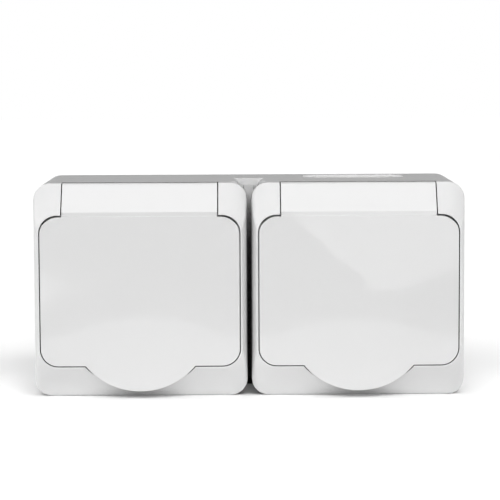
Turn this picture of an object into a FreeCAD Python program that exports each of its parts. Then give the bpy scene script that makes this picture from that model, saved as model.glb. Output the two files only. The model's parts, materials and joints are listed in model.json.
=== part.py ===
import FreeCAD, Part
import Sketcher
import math
import os

# Twin outdoor socket outlet for surface mounting: a common back box, and on it
# two covers side by side, each with an earthed two-pin well behind a sprung lid.
# The origin is the centre of the back face. X runs to the right, Z up, and the
# lids face -Y. Depths in the sheet are measured from the back face to the front.
doc = FreeCAD.newDocument("TwinOutdoorSocket")
sheet = doc.addObject("Spreadsheet::Sheet", "Sizes")
V = FreeCAD.Vector

DIMENSIONS = [
    ("cover_width", 75.0, "width of one cover"),
    ("cover_height", 75.3, "height of covers and back box"),
    ("gang_gap", 1.5, "slit between the two covers"),
    ("box_depth", 25.6, "depth of the back box"),
    ("skirt_depth", 24.3, "straight sides of a cover, back box to front edge"),
    ("brow_depth", 6.6, "how far the front form stands before that edge"),
    ("flange_depth", 5.9, "wide rim of a cover over its narrower skirt"),
    ("valley_step", 2.7, "skirt set back from the rim, on the side of the other cover"),
    ("valley_corner", 2.3, "skirt's corner radius on that side"),
    ("cover_corner", 6.0, "corner radius of a cover's outline"),
    ("cover_wall", 2.4, "wall of the covers and of the box"),
    ("cover_edge", 0.5, "rounding of a cover's front edge"),
    ("core_corner", 1.0, "inside corners of the deep cores"),
    ("cut_over", 1.0, "a cut starts or ends this far outside the surface"),
    ("border", 2.3, "cover's rim beside the lid"),
    ("brow_height", 10.9, "top band, from the ears' lower line to the top"),
    ("band_height", 11.1, "bottom band under the lid"),
    ("land", 0.4, "flat left round the lid's bay"),
    ("cheek_depth", 4.1, "lower part of the front form, before it bends in"),
    ("cheek_inset", 0.6, "how far the sides have come in there"),
    ("bay_depth", 9.5, "depth of the bay that the lid closes"),
    ("bay_floor", 2.0, "thickness of the bay's floor"),
    ("core_depth", 4.5, "hollows behind the chin and in the ears"),
    ("lid_gap", 0.4, "gap round the lid"),
    ("ear_gap", 0.6, "gap between the lid's top corners and the ears"),
    ("corner_sweep", 2.8, "more room towards the lid's top corners as it swings"),
    ("ear_width", 10.2, "ear beside the hinge strip, up to the middle of the slit"),
    ("lid_corner", 6.0, "lid's corner radius"),
    ("lid_proud", 0.5, "lid's face before the cover's rim"),
    ("panel_wall", 2.4, "lid's panel"),
    ("lid_depth", 5.0, "lid with its skirt"),
    ("lid_skirt", 1.6, "lid's skirt wall"),
    ("step_height", 1.1, "upright band over the panel's top edge"),
    ("step_depth", 0.9, "that band set behind the panel"),
    ("strip_wall", 1.45, "hinge strip's wall, measured in depth"),
    ("strip_edge", 1.4, "rounding of the strip's top edge"),
    ("crown_radius", 1500.0, "radius of the lid's slight dome"),
    ("dome_reach", 46.0, "the dome reaches this far from the lid's middle"),
    ("tab_radius", 25.0, "thumb tab's outline"),
    ("tab_reach", 8.95, "tab under the lid's lower line"),
    ("tab_wall", 1.8, "tab's thickness"),
    ("hinge_radius", 5.6, "hinge axis under the top, and the barrel's radius"),
    ("hinge_setback", 1.1, "hinge axis behind the top front edge"),
    ("hinge_gap", 0.35, "air round the barrel"),
    ("barrel_wall", 1.6, "barrel's curved back wall"),
    ("barrel_end", 140.0, "angle at which the barrel's back wall ends"),
    ("roof_setback", 1.6, "cover's top wall starts this far behind the axis"),
    ("pin_radius", 1.5, "hinge pin"),
    ("pin_grip", 4.5, "pin's hold in an ear"),
    ("pin_end", 0.1, "air at each end of the pin"),
    ("pin_seat", 0.02, "air round the pin in the ears"),
    ("pin_play", 0.08, "air round the pin in the lid"),
    ("knuckle_radius", 3.6, "lid's bosses on the pin"),
    ("spring_room", 18.0, "space between the bosses"),
    ("spring_radius", 2.1, "middle of the spring's wire"),
    ("spring_wire", 0.7, "spring's wire, square"),
    ("spring_pitch", 1.5, "spring's pitch"),
    ("spring_turns", 4.0, "whole turns of the spring"),
    ("spring_lean", 30.0, "lid leg's angle from upright"),
    ("spring_leg", 6.8, "lid leg's length"),
    ("spring_heel", 5.0, "cover leg's length"),
    ("well_radius", 19.75, "inside of the plug well"),
    ("well_wall", 1.45, "well's wall"),
    ("well_depth", 17.5, "depth of the plug well"),
    ("well_floor", 2.4, "well's floor"),
    ("well_play", 0.3, "air between well and cover"),
    ("rim_proud", 1.6, "well's rim before the bay's floor"),
    ("flange_radius", 23.4, "well's flange behind the bay's floor"),
    ("flange_wall", 2.0, "flange's thickness"),
    ("lip_radius", 22.3, "inside of the sealing lip round the well"),
    ("lip_wall", 1.2, "sealing lip's wall"),
    ("lip_height", 2.5, "sealing lip's height"),
    ("seal_width", 2.3, "lid seal's width"),
    ("seal_play", 0.05, "lid seal in its groove"),
    ("seal_air", 0.1, "lid seal before the lip"),
    ("seal_proud", 2.0, "lid seal stands this far out of its groove"),
    ("groove_depth", 2.0, "groove for the lid seal"),
    ("groove_wall", 0.9, "walls of that groove"),
    ("guide_width", 4.8, "plug guide's width"),
    ("guide_reach", 2.6, "plug guide's height over the well's wall"),
    ("guide_drop", 2.0, "plug guide starts this far under the rim"),
    ("pole_pitch", 19.0, "distance of the two pin holes"),
    ("pole_radius", 2.7, "pin hole"),
    ("pole_chamfer", 0.6, "lead-in of a pin hole"),
    ("clip_width", 4.6, "earth clip"),
    ("clip_play", 0.4, "air beside an earth clip"),
    ("clip_nose", 17.4, "clip's nose from the well's axis"),
    ("clip_bend", 0.9, "nose before the middle of the slot"),
    ("clip_foot", 1.2, "clip's end over the slot's lower end"),
    ("clip_return", 1.9, "clip's end behind the nose"),
    ("clip_end", 0.3, "clip's fold under the slot's upper end"),
    ("clip_wall", 1.0, "earth strap's thickness"),
    ("clip_clear", 0.2, "strap outside the well's wall"),
    ("channel_play", 0.1, "air beside the strap in the base's channel"),
    ("slot_start", 1.4, "clip slot over the well's floor"),
    ("slot_length", 9.5, "clip slot's length"),
    ("base_width", 46.0, "contact base"),
    ("base_height", 34.0, "contact base"),
    ("base_depth", 16.0, "contact base"),
    ("base_corner", 4.0, "contact base"),
    ("tulip_radius", 2.45, "inside of a pin contact"),
    ("tulip_wall", 0.75, "pin contact's wall"),
    ("tulip_length", 11.3, "pin contact's length"),
    ("tulip_play", 0.7, "air round a pin contact"),
    ("tulip_drop", 0.4, "pin contact behind the well's floor"),
    ("tulip_slit", 0.8, "slit between a contact's fingers"),
    ("slit_length", 6.8, "length of that slit"),
    ("block_size", 8.0, "terminal block's width and height"),
    ("block_depth", 9.0, "terminal block's depth"),
    ("block_place", 16.0, "terminal block from the gang's middle"),
    ("block_play", 0.4, "air beside a terminal block"),
    ("block_setback", 5.0, "terminal block behind the base's front"),
    ("earth_place", 9.0, "earth block under the middle"),
    ("wire_radius", 1.6, "wire hole"),
    ("clamp_radius", 1.45, "terminal screw"),
    ("clamp_play", 0.05, "air round a terminal screw"),
    ("clamp_length", 7.0, "terminal screw"),
    ("clamp_start", 1.7, "terminal screw's tip from the wire's middle"),
    ("clamp_access", 2.6, "screwdriver hole in the base"),
    ("slot_cut", 0.7, "screw slot's width and depth"),
    ("centre_radius", 1.4, "screw in the well's floor"),
    ("centre_head", 2.9, "its head"),
    ("centre_sink", 1.2, "head's depth"),
    ("centre_length", 10.0, "screw under its head"),
    ("centre_play", 0.3, "air round that screw in the well's floor"),
    ("screw_inset_x", 8.5, "cover screws in from the cover's sides"),
    ("screw_inset_z", 17.15, "cover screws in from its top and bottom"),
    ("screw_radius", 1.55, "cover screw"),
    ("screw_head", 3.0, "cover screw's head"),
    ("head_height", 1.8, "cover screw's head"),
    ("screw_length", 38.0, "cover screw under its head"),
    ("screw_play", 0.05, "screws in their pilot holes"),
    ("sleeve_radius", 3.6, "screw sleeves and posts"),
    ("sleeve_bore", 2.1, "hole in the sleeves"),
    ("tip_room", 1.4, "pilot holes go this far past a screw's tip"),
    ("box_floor", 2.5, "back wall of the box"),
    ("box_corner", 6.0, "corner radius of the box"),
    ("box_edge", 1.6, "rounding of the box's back edge"),
    ("pillar_radius", 2.5, "pillars behind the contact base"),
    ("pillar_inset_x", 4.0, "pillars in from the contact base's sides"),
    ("pillar_inset_z", 4.5, "pillars in from its top and bottom"),
    ("rib_width", 3.4, "rib on the box between the covers"),
    ("rib_height", 1.2, "that rib's height"),
    ("rib_drop", 2.2, "rib's end under the top"),
    ("web_skin", 3.0, "front skin of the hollow web between the gangs"),
    ("web_bridge", 18.0, "solid middle of that web"),
    ("duct_height", 8.0, "wire duct through the web"),
    ("duct_depth", 7.0, "wire duct through the web"),
    ("gasket_width", 1.0, "cord seal between cover and box"),
    ("gasket_depth", 1.0, "its groove in the box's rim"),
    ("wall_slot_inset_x", 17.75, "wall screw slots in from the box's sides"),
    ("wall_slot_inset_z", 10.65, "wall screw slots in from its top and bottom"),
    ("wall_slot_radius", 2.25, "half a slot's width"),
    ("wall_slot_length", 9.0, "slot's full length"),
    ("foot_height", 0.8, "recess of the back face inside its rim"),
    ("foot_rim", 4.0, "that rim's width"),
    ("foot_corner", 4.0, "the recess's corner radius"),
    ("foot_gap", 1.0, "recess between the rim and the middle web's pad"),
    ("foot_boss", 5.5, "radius of the pad at a wall slot"),
    ("blank_radius", 9.0, "knock-out in the back"),
    ("blank_line", 0.8, "knock-out's score line"),
    ("entry_length", 36.6, "recess of the cable entry"),
    ("entry_width", 17.6, "recess of the cable entry"),
    ("entry_corner", 6.0, "its corner radius"),
    ("entry_sink", 0.8, "its depth"),
    ("entry_place", 15.4, "middle of the cable entry from the back face"),
    ("entry_margin", 2.4, "ledge round the cable opening"),
    ("membrane_wall", 1.3, "cable seal's flange under the top wall"),
    ("membrane_lap", 1.6, "flange's lap under the top wall"),
    ("membrane_play", 0.1, "air round the cable seal"),
    ("ring_inset", 0.9, "ring on the cable seal, in from the seal's edge"),
    ("ring_width", 0.8, "that ring's width"),
    ("ring_rise", 0.35, "that ring's height"),
]

for row, (alias, value, meaning) in enumerate(DIMENSIONS, start=1):
    sheet.set(f"A{row}", meaning)
    sheet.set(f"B{row}", str(value))
    sheet.setAlias(f"B{row}", alias)
doc.recompute()

# Levels that several pieces share. Depth counts from the back face to the front.
HALF = "(Sizes.cover_width / 2)"
MID = "(Sizes.cover_height / 2)"
PITCH = "(Sizes.cover_width + Sizes.gang_gap)"
FACE = "(Sizes.box_depth + Sizes.skirt_depth)"
LAND = f"({FACE} + Sizes.brow_depth)"
PANEL = f"({LAND} + Sizes.lid_proud)"
UNDER = f"({PANEL} - Sizes.panel_wall)"
BAY = f"({LAND} - Sizes.bay_depth)"
BAY_BACK = f"({BAY} - Sizes.bay_floor)"
EAR_LINE = f"({MID} - Sizes.brow_height)"
BAY_LOW = f"(Sizes.band_height - {MID})"
BAY_HALF = f"({HALF} - Sizes.border)"
LID_HALF = f"({BAY_HALF} - Sizes.lid_gap)"
LID_LOW = f"({BAY_LOW} + Sizes.lid_gap)"
SLOPE = "(Sizes.brow_depth / (Sizes.brow_height - Sizes.land))"
AXIS_Z = f"({MID} - Sizes.hinge_radius)"
AXIS_D = f"({FACE} - Sizes.hinge_setback)"
RELIEF = "(Sizes.hinge_radius + Sizes.hinge_gap)"
NOTCH_HALF = f"({HALF} - Sizes.ear_width + Sizes.lid_gap / 2)"
STRIP_HALF = f"({NOTCH_HALF} - Sizes.lid_gap)"
TAB_Z = f"({LID_LOW} - Sizes.tab_reach + Sizes.tab_radius)"
RIM = f"({BAY} + Sizes.rim_proud)"
WELL_FACE = f"({RIM} - Sizes.well_depth)"
WELL_BACK = f"({WELL_FACE} - Sizes.well_floor)"
WELL_OUT = "(Sizes.well_radius + Sizes.well_wall)"
BASE_BACK = f"({WELL_BACK} - Sizes.base_depth)"
POLE = "(Sizes.pole_pitch / 2)"
LIP_MID = "(Sizes.lip_radius + Sizes.lip_wall / 2)"
SEAL_FACE = f"({BAY} + Sizes.lip_height + Sizes.seal_air)"
GROOVE_FACE = f"({SEAL_FACE} + Sizes.seal_proud)"
BLOCK_BACK = f"({WELL_BACK} - Sizes.block_setback - Sizes.block_depth)"
CLAMP_D = f"({BLOCK_BACK} + Sizes.block_depth / 2)"
SCREW_X = f"({HALF} - Sizes.screw_inset_x)"
SCREW_Z = f"({MID} - Sizes.screw_inset_z)"
BOX_HALF = f"({PITCH} / 2 + {HALF})"
WALL_SLOT_X = f"({BOX_HALF} - Sizes.wall_slot_inset_x)"
WALL_SLOT_Z = f"({MID} - Sizes.wall_slot_inset_z)"
OVER = "Sizes.cut_over"
GASKET_INSETS = (
    "((Sizes.cover_wall - Sizes.gasket_width) / 2)",
    "((Sizes.cover_wall + Sizes.gasket_width) / 2)",
)


def size(formula):
    """The value of a formula over the sheet's cells, in millimetres or degrees."""
    return float(sheet.evalExpression(formula))


def new_body(label):
    body = doc.addObject("PartDesign::Body", label)
    body.Label = label
    return body


def new_sketch(body, name, plane="XZ_Plane", level="0"):
    """A sketch on one of the body's own planes, moved along the plane's normal to a level."""
    sketch = body.newObject("Sketcher::SketchObject", f"{body.Name}_{name}")
    origin_plane = [f for f in body.Origin.OriginFeatures if f.Role == plane][0]
    sketch.AttachmentSupport = (origin_plane, [""])
    sketch.MapMode = "FlatFace"
    sketch.setExpression("AttachmentOffset.Base.z", level)
    return sketch


def bind(sketch, kind, elements, formula):
    """One dimension of a sketch, tied to a formula."""
    index = sketch.addConstraint(Sketcher.Constraint(kind, *elements, size(formula)))
    sketch.setExpression(f"Constraints[{index}]", formula)


def arc_between(start, end, radius, side):
    """The minor arc from start to end, its centre to the left (side 1) or right (-1)."""
    chord = end - start
    across = V(-chord.y, chord.x, 0).normalize()
    depth = max(radius**2 - (chord.Length / 2) ** 2, 0) ** 0.5
    middle = start + chord * 0.5 + across * (side * (depth - radius))
    return Part.Arc(start, middle, end)


def outline(sketch, points):
    """A closed outline through points (x, y), or (x, y, radius, side) where an arc leaves."""
    first = sketch.GeometryCount
    places = [V(size(p[0]), size(p[1]), 0) for p in points]
    reversed_arc = []
    for i, point in enumerate(points):
        start, end = places[i], places[(i + 1) % len(points)]
        if len(point) == 2:
            sketch.addGeometry(Part.LineSegment(start, end), False)
            reversed_arc.append(False)
        else:
            arc = arc_between(start, end, size(point[2]), point[3])
            sketch.addGeometry(arc, False)
            reversed_arc.append((sketch.getPoint(first + i, 1) - start).Length > 1e-5)
    for i, point in enumerate(points):
        begin = 2 if reversed_arc[i] else 1
        last = (i - 1) % len(points)
        finish = 1 if reversed_arc[last] else 2
        sketch.addConstraint(Sketcher.Constraint("Coincident", first + last, finish, first + i, begin))
        bind(sketch, "DistanceX", (-1, 1, first + i, begin), point[0])
        bind(sketch, "DistanceY", (-1, 1, first + i, begin), point[1])
        if len(point) > 2:
            bind(sketch, "Radius", (first + i,), point[2])
    return sketch


def rounded(left, right, low, high, radii):
    """Points of a rectangle with rounded corners; radii start at the lower left, anticlockwise."""
    a, b, c, d = radii
    return [
        (f"{left} + {a}", low),
        (f"{right} - {b}", low, b, 1),
        (right, f"{low} + {b}"),
        (right, f"{high} - {c}", c, 1),
        (f"{right} - {c}", high),
        (f"{left} + {d}", high, d, 1),
        (left, f"{high} - {d}"),
        (left, f"{low} + {a}", a, 1),
    ]


def rectangle(left, right, low, high):
    return [(left, low), (right, low), (right, high), (left, high)]


def mirrored(points, toward):
    """The same outline, or its mirror image in X for toward -1."""
    if toward > 0:
        return points
    return [(f"-({p[0]})", p[1]) + ((p[2], -p[3]) if len(p) > 2 else ()) for p in points]


def circle(sketch, x, y, radius):
    index = sketch.addGeometry(Part.Circle(V(size(x), size(y), 0), V(0, 0, 1), size(radius)), False)
    bind(sketch, "DistanceX", (-1, 1, index, 3), x)
    bind(sketch, "DistanceY", (-1, 1, index, 3), y)
    bind(sketch, "Radius", (index,), radius)
    return sketch


def feature(body, kind, sketch, length, back=False):
    """A Pad grows from its sketch along the plane's normal, a Pocket cuts against it."""
    made = body.newObject(f"PartDesign::{kind}", f"{sketch.Name}_{kind}")
    made.Profile = sketch
    made.setExpression("Length", length)
    made.Reversed = back
    return made


def pad(body, sketch, length, back=False):
    return feature(body, "Pad", sketch, length, back)


def pocket(body, sketch, length, back=False):
    return feature(body, "Pocket", sketch, length, back)


def dress(body, kind, base, wanted, cell):
    """A Fillet or Chamfer on those edges of a feature whose middle passes the test."""
    doc.recompute()
    names = [
        f"Edge{i}" for i, edge in enumerate(base.Shape.Edges, start=1)
        if wanted(edge.valueAt((edge.FirstParameter + edge.LastParameter) / 2), edge)
    ]
    made = body.newObject(f"PartDesign::{kind}", f"{body.Name}_{kind}_{len(body.Group)}")
    made.Base = (base, names)
    made.setExpression("Radius" if kind == "Fillet" else "Size", cell)
    return made


def corners(x, z):
    """Four places about the middle of a gang."""
    return [(f"{i} * {x}", f"{k} * {z}") for i in (-1, 1) for k in (-1, 1)]


def skirt_outline(toward, inset="0"):
    """Outline of a gang's straight walls, pulled in by inset; toward is the side of the other gang."""
    outer = f"(Sizes.cover_corner - {inset})"
    inner = f"(Sizes.valley_corner - {inset})"
    points = rounded(
        f"-{HALF} + {inset}", f"{HALF} - Sizes.valley_step - {inset}",
        f"-{MID} + {inset}", f"{MID} - {inset}", (outer, inner, inner, outer),
    )
    return mirrored(points, toward)


def inner_outline(toward):
    """Inside of a gang's walls, one wall thickness in from the skirt."""
    outer, core = "(Sizes.cover_corner - Sizes.cover_wall)", "Sizes.core_corner"
    points = rounded(
        f"-{HALF} + Sizes.cover_wall", f"{HALF} - Sizes.valley_step - Sizes.cover_wall",
        f"-{MID} + Sizes.cover_wall", f"{MID} - Sizes.cover_wall", (outer, core, core, outer),
    )
    return mirrored(points, toward)


def across(points, shift):
    """The same outline, moved in X."""
    return [(f"{p[0]} + {shift}", p[1]) + p[2:] for p in points]


def entry_outline(inset):
    """Outline of the cable entry in the top wall over the right gang, pulled in by inset."""
    x, y = f"{PITCH} / 2", "-Sizes.entry_place"
    long, wide = "Sizes.entry_length / 2", "Sizes.entry_width / 2"
    radius = f"(Sizes.entry_corner - {inset})"
    return rounded(
        f"{x} - {long} + {inset}", f"{x} + {long} - {inset}",
        f"{y} - {wide} + {inset}", f"{y} + {wide} - {inset}",
        (radius, radius, radius, radius),
    )


# Back box: one moulding for both gangs. Each gang has a well with four screw
# posts and four pillars, and a hollow web between the wells carries the wires.
def back_box():
    body = new_body("back_box")
    r = "Sizes.box_corner"
    shell = rounded(f"-{BOX_HALF}", BOX_HALF, f"-{MID}", MID, (r, r, r, r))
    block = pad(body, outline(new_sketch(body, "shell"), shell), "Sizes.box_depth")
    dress(body, "Fillet", block, lambda p, e: abs(p.y) < 1e-4, "Sizes.box_edge")

    wells = new_sketch(body, "wells", level="Sizes.box_depth")
    for toward in (1, -1):
        outline(wells, across(inner_outline(toward), f"-{toward} * {PITCH} / 2"))
    pocket(body, wells, "Sizes.box_depth - Sizes.box_floor")

    posts = new_sketch(body, "posts", level="Sizes.box_floor")
    pillars = new_sketch(body, "pillars", level="Sizes.box_floor")
    pilots = new_sketch(body, "pilots", level="Sizes.box_depth")
    for gang in (-1, 1):
        middle = f"{gang} * {PITCH} / 2"
        for x, z in corners(SCREW_X, SCREW_Z):
            circle(posts, f"{middle} + {x}", z, "Sizes.sleeve_radius")
            circle(pilots, f"{middle} + {x}", z, "Sizes.screw_radius + Sizes.screw_play")
        pillar_x = "(Sizes.base_width / 2 - Sizes.pillar_inset_x)"
        pillar_z = "(Sizes.base_height / 2 - Sizes.pillar_inset_z)"
        for x, z in corners(pillar_x, pillar_z):
            circle(pillars, f"{middle} + {x}", z, "Sizes.pillar_radius")
    pad(body, posts, "Sizes.box_depth - Sizes.box_floor")
    pad(body, pillars, f"{BASE_BACK} - Sizes.box_floor")
    pocket(body, pilots, f"Sizes.box_depth - {BAY} + Sizes.screw_length + Sizes.tip_room")

    web = "(Sizes.gang_gap / 2 + Sizes.valley_step)"
    hollow = new_sketch(body, "web_hollows")
    for up in (1, -1):
        low = "Sizes.web_bridge / 2"
        high = f"{MID} - 2 * Sizes.cover_wall"
        if up > 0:
            outline(hollow, rectangle(f"-{web}", web, low, high))
        else:
            outline(hollow, rectangle(f"-{web}", web, f"-({high})", f"-({low})"))
    pocket(body, hollow, "Sizes.box_depth - Sizes.web_skin", back=True)
    duct = new_sketch(body, "duct", "YZ_Plane", f"{web} + 2 * Sizes.cover_wall")
    outline(duct, rectangle(
        "-Sizes.box_floor - Sizes.duct_depth", "-Sizes.box_floor",
        "-Sizes.duct_height / 2", "Sizes.duct_height / 2",
    ))
    pocket(body, duct, f"2 * ({web} + 2 * Sizes.cover_wall)")

    rib = new_sketch(body, "rib", level="Sizes.box_depth")
    rib_end = f"({MID} - Sizes.rib_drop)"
    outline(rib, rectangle("-Sizes.rib_width / 2", "Sizes.rib_width / 2", f"-{rib_end}", rib_end))
    pad(body, rib, "Sizes.rib_height")

    grooves = new_sketch(body, "grooves", level="Sizes.box_depth")
    for toward in (1, -1):
        for inset in GASKET_INSETS:
            outline(grooves, across(skirt_outline(toward, inset), f"-{toward} * {PITCH} / 2"))
    pocket(body, grooves, "Sizes.gasket_depth")

    recess = new_sketch(body, "back_recess")
    rim, corner = "Sizes.foot_rim", "Sizes.foot_corner"
    outline(recess, rounded(
        f"-{BOX_HALF} + {rim}", f"{BOX_HALF} - {rim}", f"-{MID} + {rim}", f"{MID} - {rim}",
        (corner, corner, corner, corner),
    ))
    for x, z in corners(WALL_SLOT_X, WALL_SLOT_Z):
        circle(recess, x, z, "Sizes.foot_boss")
    for gang in (-1, 1):
        circle(recess, f"{gang} * {PITCH} / 2", "0", "Sizes.blank_radius")
        circle(recess, f"{gang} * {PITCH} / 2", "0", "Sizes.blank_radius - Sizes.blank_line")
    outline(recess, rectangle(
        f"-{web} - Sizes.cover_wall", f"{web} + Sizes.cover_wall",
        f"-{MID} + {rim} + Sizes.foot_gap", f"{MID} - {rim} - Sizes.foot_gap",
    ))
    pocket(body, recess, "Sizes.foot_height", back=True)

    slots = new_sketch(body, "wall_slots", level="Sizes.box_floor")
    end, bend = "Sizes.wall_slot_length / 2", "Sizes.wall_slot_radius"
    run = f"({end} - {bend})"
    for x, z in corners(WALL_SLOT_X, WALL_SLOT_Z):
        outline(slots, [
            (f"{x} - {run}", f"{z} - {bend}"), (f"{x} + {run}", f"{z} - {bend}", bend, 1),
            (f"{x} + {end}", z, bend, 1),
            (f"{x} + {run}", f"{z} + {bend}"), (f"{x} - {run}", f"{z} + {bend}", bend, 1),
            (f"{x} - {end}", z, bend, 1),
        ])
    pocket(body, slots, "Sizes.box_floor")

    entry = new_sketch(body, "entry_recess", "XY_Plane", MID)
    outline(entry, entry_outline("0"))
    pocket(body, entry, "Sizes.entry_sink")
    hole = new_sketch(body, "entry_hole", "XY_Plane", MID)
    outline(hole, entry_outline("Sizes.entry_margin"))
    pocket(body, hole, "Sizes.cover_wall")


# Cable seal: a soft membrane snapped into the top wall, its flange inside the
# box and a raised ring on it as the line to cut along.
def cable_seal():
    body = new_body("cable_seal")
    under = f"({MID} - Sizes.cover_wall)"
    neck = new_sketch(body, "neck", "XY_Plane", under)
    outline(neck, entry_outline("(Sizes.entry_margin + Sizes.membrane_play)"))
    pad(body, neck, "Sizes.cover_wall - Sizes.entry_sink")
    flange = new_sketch(body, "flange", "XY_Plane", under)
    outline(flange, entry_outline("(Sizes.entry_margin - Sizes.membrane_lap)"))
    pad(body, flange, "Sizes.membrane_wall", back=True)
    rings = new_sketch(body, "rings", "XY_Plane", f"{MID} - Sizes.entry_sink")
    for inset in ("Sizes.ring_inset", "Sizes.ring_inset + Sizes.ring_width"):
        outline(rings, entry_outline(f"(Sizes.entry_margin + {inset})"))
    pad(body, rings, "Sizes.ring_rise")


# Cover: a deep moulding with a sloping brow and chin, a bay for the lid and,
# between its two ears, the open trough that the lid's hinge turns in.
def cover(name, toward):
    body = new_body(f"cover_{name}")
    skirt_top = f"({FACE} - Sizes.flange_depth)"
    skirt = outline(new_sketch(body, "skirt", level="Sizes.box_depth"), skirt_outline(toward))
    pad(body, skirt, f"{skirt_top} - Sizes.box_depth")
    r = "Sizes.cover_corner"
    full = rounded(f"-{HALF}", HALF, f"-{MID}", MID, (r, r, r, r))
    pad(body, outline(new_sketch(body, "rim", level=skirt_top), full), "Sizes.flange_depth")

    cheek = f"({FACE} + Sizes.cheek_depth)"
    cheek_rise = f"(Sizes.cheek_depth / {SLOPE})"
    chin_rise = "(Sizes.cheek_depth * (Sizes.band_height - Sizes.land) / Sizes.brow_depth)"
    middle = rounded(
        f"-{HALF} + Sizes.cheek_inset", f"{HALF} - Sizes.cheek_inset",
        f"-{MID} + {chin_rise}", f"{MID} - {cheek_rise}", (r, r, r, r),
    )
    land_corner = "(Sizes.lid_corner + Sizes.lid_gap + Sizes.land)"
    front = rounded(
        f"-{BAY_HALF} - Sizes.land", f"{BAY_HALF} + Sizes.land",
        f"{BAY_LOW} - Sizes.land", f"{EAR_LINE} + Sizes.land",
        (land_corner, land_corner, land_corner, land_corner),
    )
    brow = body.newObject("PartDesign::AdditiveLoft", f"{body.Name}_brow")
    brow.Profile = outline(new_sketch(body, "loft_edge", level=FACE), full)
    brow.Sections = [
        outline(new_sketch(body, "loft_cheek", level=cheek), middle),
        outline(new_sketch(body, "loft_land", level=LAND), front),
    ]
    brow.Ruled = True
    face = size(FACE)
    dress(body, "Fillet", brow, lambda p, e: abs(p.y + face) < 1e-4, "Sizes.cover_edge")

    trough_wall = f"({AXIS_D} - {RELIEF} - Sizes.cover_wall)"
    cavity = new_sketch(body, "cavity", level="Sizes.box_depth")
    outline(cavity, inner_outline(toward))
    pocket(body, cavity, f"{trough_wall} - Sizes.box_depth", back=True)
    front_room = new_sketch(body, "front_room", level=trough_wall)
    core = "Sizes.core_corner"
    outline(front_room, mirrored(rounded(
        f"-{HALF} + Sizes.cover_wall", f"{HALF} - Sizes.valley_step - Sizes.cover_wall",
        f"-{MID} + Sizes.cover_wall", f"{AXIS_Z} - {RELIEF} - Sizes.cover_wall",
        ("(Sizes.cover_corner - Sizes.cover_wall)", core, core, core),
    ), toward))
    pocket(body, front_room, f"{BAY_BACK} - {trough_wall}", back=True)
    ear_cores = new_sketch(body, "ear_cores", level=trough_wall)
    ear_inner, wall = f"{NOTCH_HALF} + Sizes.cover_wall", "Sizes.cover_wall"
    ear_low, ear_high = f"{AXIS_Z} - {RELIEF} - Sizes.ear_gap", f"{MID} - {wall}"
    for left, right in (
        (f"-{HALF} + {wall}", f"-({ear_inner})"),
        (ear_inner, f"{HALF} - Sizes.valley_step - {wall}"),
    ):
        outline(ear_cores, mirrored(rectangle(left, right, ear_low, ear_high), toward))
    pocket(body, ear_cores, "Sizes.core_depth", back=True)
    chin_core = new_sketch(body, "chin_core", level=BAY_BACK)
    chin_half = f"({HALF} - Sizes.cover_corner - Sizes.cheek_inset)"
    outline(chin_core, rectangle(
        f"-{chin_half}", chin_half, f"-{MID} + {wall}", f"{BAY_LOW} - {wall}"
    ))
    pocket(body, chin_core, "Sizes.core_depth", back=True)

    sleeves = new_sketch(body, "sleeves", level="Sizes.box_depth")
    for x, z in corners(SCREW_X, SCREW_Z):
        circle(sleeves, x, z, "Sizes.sleeve_radius")
    pad(body, sleeves, f"{BAY_BACK} + Sizes.bay_floor / 2 - Sizes.box_depth")

    bay_corner = "(Sizes.lid_corner + Sizes.lid_gap)"
    bay = new_sketch(body, "bay", level=PANEL)
    outline(bay, rounded(
        f"-{BAY_HALF}", BAY_HALF, BAY_LOW, EAR_LINE, (bay_corner, bay_corner, bay_corner, bay_corner)
    ))
    pocket(body, bay, f"{PANEL} - {BAY}")
    tab = new_sketch(body, "tab_recess", level=PANEL)
    circle(tab, "0", TAB_Z, "Sizes.tab_radius + Sizes.lid_gap")
    pocket(body, tab, "Sizes.tab_wall + Sizes.lid_gap")
    notch = new_sketch(body, "notch", level=PANEL)
    notch_low, notch_high = f"{EAR_LINE} - Sizes.ear_gap", f"{MID} + {OVER}"
    outline(notch, rectangle(f"-{NOTCH_HALF}", NOTCH_HALF, notch_low, notch_high))
    pocket(body, notch, f"{PANEL} - {AXIS_D} + Sizes.roof_setback")
    trough = new_sketch(body, "trough", "YZ_Plane", NOTCH_HALF)
    circle(trough, f"-{AXIS_D}", AXIS_Z, RELIEF)
    pocket(body, trough, f"2 * {NOTCH_HALF}")

    bore_start = f"({HALF} + {OVER})"
    bore = new_sketch(body, "pin_bore", "YZ_Plane", f"{toward} * {bore_start}")
    circle(bore, f"-{AXIS_D}", AXIS_Z, "Sizes.pin_radius + Sizes.pin_seat")
    pocket(body, bore, f"{bore_start} + {NOTCH_HALF} + Sizes.pin_grip", back=toward < 0)

    lip = new_sketch(body, "lip", level=BAY)
    circle(lip, "0", "0", "Sizes.lip_radius + Sizes.lip_wall")
    circle(lip, "0", "0", "Sizes.lip_radius")
    pad(body, lip, "Sizes.lip_height")
    opening = new_sketch(body, "well_opening", level=BAY)
    circle(opening, "0", "0", f"{WELL_OUT} + Sizes.well_play")
    pocket(body, opening, "Sizes.bay_floor")
    bores = new_sketch(body, "screw_bores", level=BAY)
    for x, z in corners(SCREW_X, SCREW_Z):
        circle(bores, x, z, "Sizes.sleeve_bore")
    pocket(body, bores, f"{BAY} - Sizes.box_depth")
    return body


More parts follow.
